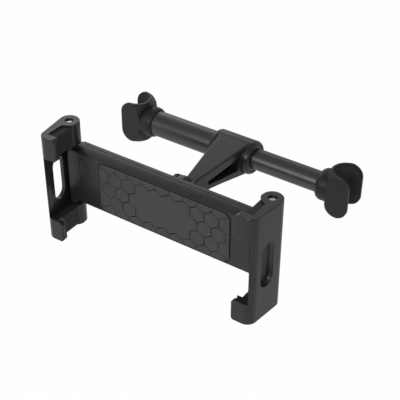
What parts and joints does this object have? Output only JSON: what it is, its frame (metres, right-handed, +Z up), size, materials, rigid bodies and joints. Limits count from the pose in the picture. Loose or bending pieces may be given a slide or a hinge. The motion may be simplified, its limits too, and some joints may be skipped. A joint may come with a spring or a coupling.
{
  "type": "headrest tablet mount",
  "caption": "Matte black headrest tablet mount: telescoping bar with post hooks, tapered arm on a ball joint, and a spring-closed cradle with folding corner jaws.",
  "frame": {"origin": "on the bar's axis, midway between the centres of the two headrest posts, with the bar pulled right out", "axes": "+X along the bar to the side of the smaller tube, +Y from the tablet to the headrest, +Z up along the posts"},
  "size_m": [0.1802, 0.1187, 0.078],
  "materials": {
    "black_plastic": "fine grained matte black moulding",
    "hook_plastic": "plain matte black moulding",
    "pad_rubber": "matte dark grey soft pad",
    "soft_rubber": "matte black lining",
    "tube_metal": "satin dark grey",
    "steel": "zinc plated",
    "polished_steel": "bright",
    "white_plastic": "natural white, slippery"
  },
  "bodies": {
    "bar": {"outer_tube": "tube_metal", "guide_bush": "black_plastic", "bar_spring": "steel", "left_tube_plug": "white_plastic", "left_hook": "hook_plastic", "left_hook_liner": "soft_rubber", "left_hook_screw": "steel", "bracket_arm": "black_plastic", "collar_screw": "steel", "stud_pin": "steel"},
    "inner_bar": {"inner_tube": "tube_metal", "slide_bush": "white_plastic", "spring_seat": "white_plastic", "right_tube_plug": "white_plastic", "right_hook": "hook_plastic", "right_hook_liner": "soft_rubber", "right_hook_screw": "steel"},
    "ball": {"ball_stud": "polished_steel"},
    "seat": {"ball_seat": "white_plastic"},
    "cradle": {"back_cover": "black_plastic", "front_cover": "black_plastic", "grip_pad": "pad_rubber", "cover_screws": "steel", "return_spring": "steel"},
    "nut": {"lock_nut": "black_plastic"},
    "gear": {"pinion": "white_plastic"},
    "right_carriage": {"right_slider": "black_plastic"},
    "left_carriage": {"left_slider": "black_plastic"},
    "right_clamp": {"right_jaw": "black_plastic", "right_upper_jaw_pad": "soft_rubber", "right_lower_jaw_pad": "soft_rubber", "right_hinge_pin": "polished_steel"},
    "left_clamp": {"left_jaw": "black_plastic", "left_upper_jaw_pad": "soft_rubber", "left_lower_jaw_pad": "soft_rubber", "left_hinge_pin": "polished_steel"}
  },
  "joints": [
    {"name": "bar_extend", "type": "slide", "parent": "bar", "child": "inner_bar", "axis": [1, 0, 0], "range_m": [-0.045, 0], "stiffness_N_per_m": 200, "springref_m": 0.06, "deforming": ["bar_spring"]},
    {"name": "ball_turn", "type": "hinge", "parent": "bar", "child": "ball", "pos_m": [0, -0.0644, 0], "axis": [0, 1, 0], "continuous": true},
    {"name": "ball_tilt", "type": "hinge", "parent": "ball", "child": "seat", "pos_m": [0, -0.0644, 0], "axis": [1, 0, 0], "range_deg": [-20, 20]},
    {"name": "ball_swing", "type": "hinge", "parent": "seat", "child": "cradle", "pos_m": [0, -0.0644, 0], "axis": [0, 0, 1], "range_deg": [-20, 20]},
    {"name": "nut_turn", "type": "hinge", "parent": "cradle", "child": "nut", "pos_m": [0, -0.0644, 0], "axis": [0, 1, 0], "range_deg": [-30, 270]},
    {"name": "right_slide", "type": "slide", "parent": "cradle", "child": "right_carriage", "axis": [1, 0, 0], "range_m": [0, 0.045], "stiffness_N_per_m": 150, "springref_m": -0.05, "deforming": ["return_spring"]},
    {"name": "left_slide", "type": "slide", "parent": "cradle", "child": "left_carriage", "axis": [1, 0, 0], "range_m": [-0.045, 0]},
    {"name": "gear_spin", "type": "hinge", "parent": "cradle", "child": "gear", "pos_m": [0, -0.081, 0], "axis": [0, 1, 0], "range_deg": [0, 429.72]},
    {"name": "right_fold", "type": "hinge", "parent": "right_carriage", "child": "right_clamp", "pos_m": [0.0753, -0.081, 0], "axis": [0, 0, -1], "range_deg": [0, 78]},
    {"name": "left_fold", "type": "hinge", "parent": "left_carriage", "child": "left_clamp", "pos_m": [-0.0753, -0.081, 0], "axis": [0, 0, 1], "range_deg": [0, 78]}
  ],
  "couplings": [
    {"joint": "left_slide", "follows": "right_slide", "ratio": -1},
    {"joint": "gear_spin", "follows": "right_slide", "rad_per_m": 166.67}
  ]
}
